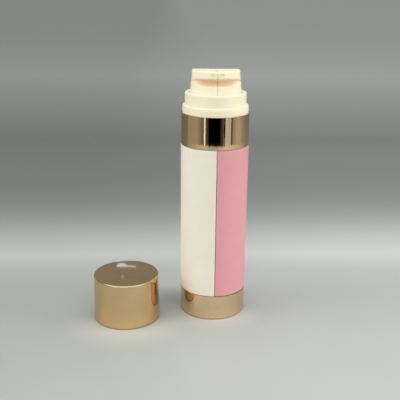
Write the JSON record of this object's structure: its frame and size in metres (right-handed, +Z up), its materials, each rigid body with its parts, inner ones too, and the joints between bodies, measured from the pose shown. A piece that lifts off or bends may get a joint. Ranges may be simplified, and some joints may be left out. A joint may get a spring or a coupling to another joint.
{
  "type": "dual-chamber airless pump bottle",
  "caption": "Tall round cosmetic bottle with half-round product chambers side by side, a split push-button pump head and a pull-off cap standing beside it.",
  "frame": {"origin": "on the bottle's axis at the underside of the base cup, the plane the bottle stands on", "axes": "+Z up along the bottle; the seam between the halves is the plane x = 0, the left half at -X; the outlets face -Y"},
  "size_m": [0.0886, 0.0486, 0.141],
  "materials": {
    "base_gold": "polished",
    "collar_gold": "polished",
    "cap_gold": "polished",
    "ivory_shell": "satin",
    "pink_shell": "satin",
    "ring_cream": "satin",
    "button_cream": "satin",
    "plate_cream": "satin",
    "nozzle_yellow": "gloss",
    "liner_white": "satin",
    "natural_plastic": "satin",
    "seal_white": "satin",
    "gasket_rubber": "matte",
    "ball_steel": "polished",
    "spring_steel": "satin"
  },
  "bodies": {
    "bottle": {"base_cup": "base_gold", "shell_left": "ivory_shell", "shell_right": "pink_shell", "inner_bottle_left": "natural_plastic", "inner_bottle_right": "natural_plastic", "collar": "collar_gold", "closure_ring": "ring_cream", "neck_plate": "plate_cream", "pump_housing_left": "natural_plastic", "pump_housing_right": "natural_plastic", "gasket_left": "gasket_rubber", "gasket_right": "gasket_rubber", "lock_ring_left": "seal_white", "lock_ring_right": "seal_white", "spring_left": "spring_steel", "spring_right": "spring_steel"},
    "button_left": {"button_left": "button_cream", "nozzle_left": "nozzle_yellow", "stem_left": "natural_plastic", "piston_left": "seal_white"},
    "button_right": {"button_right": "button_cream", "nozzle_right": "nozzle_yellow", "stem_right": "natural_plastic", "piston_right": "seal_white"},
    "follower_left": {"follower_left": "seal_white"},
    "follower_right": {"follower_right": "seal_white"},
    "ball_left": {"valve_ball_left": "ball_steel"},
    "ball_right": {"valve_ball_right": "ball_steel"},
    "cap": {"cap_shell": "cap_gold", "cap_liner": "liner_white"}
  },
  "joints": [
    {"name": "press_left", "type": "slide", "parent": "bottle", "child": "button_left", "axis": [0, 0, -1], "range_m": [0, 0.006], "stiffness_N_per_m": 500, "springref_m": -0.004, "deforming": ["spring_left"]},
    {"name": "press_right", "type": "slide", "parent": "bottle", "child": "button_right", "axis": [0, 0, -1], "range_m": [0, 0.006], "stiffness_N_per_m": 500, "springref_m": -0.004, "deforming": ["spring_right"]},
    {"name": "follower_rise_left", "type": "slide", "parent": "bottle", "child": "follower_left", "axis": [0, 0, 1], "range_m": [0, 0.0868]},
    {"name": "follower_rise_right", "type": "slide", "parent": "bottle", "child": "follower_right", "axis": [0, 0, 1], "range_m": [0, 0.0868]},
    {"name": "ball_lift_left", "type": "slide", "parent": "bottle", "child": "ball_left", "axis": [0, 0, 1], "range_m": [0, 0.001]},
    {"name": "ball_lift_right", "type": "slide", "parent": "bottle", "child": "ball_right", "axis": [0, 0, 1], "range_m": [0, 0.001]},
    {"name": "cap_lift", "type": "slide", "parent": "bottle", "child": "cap", "axis": [0, 0, 1], "range_m": [0, 0.15]}
  ]
}
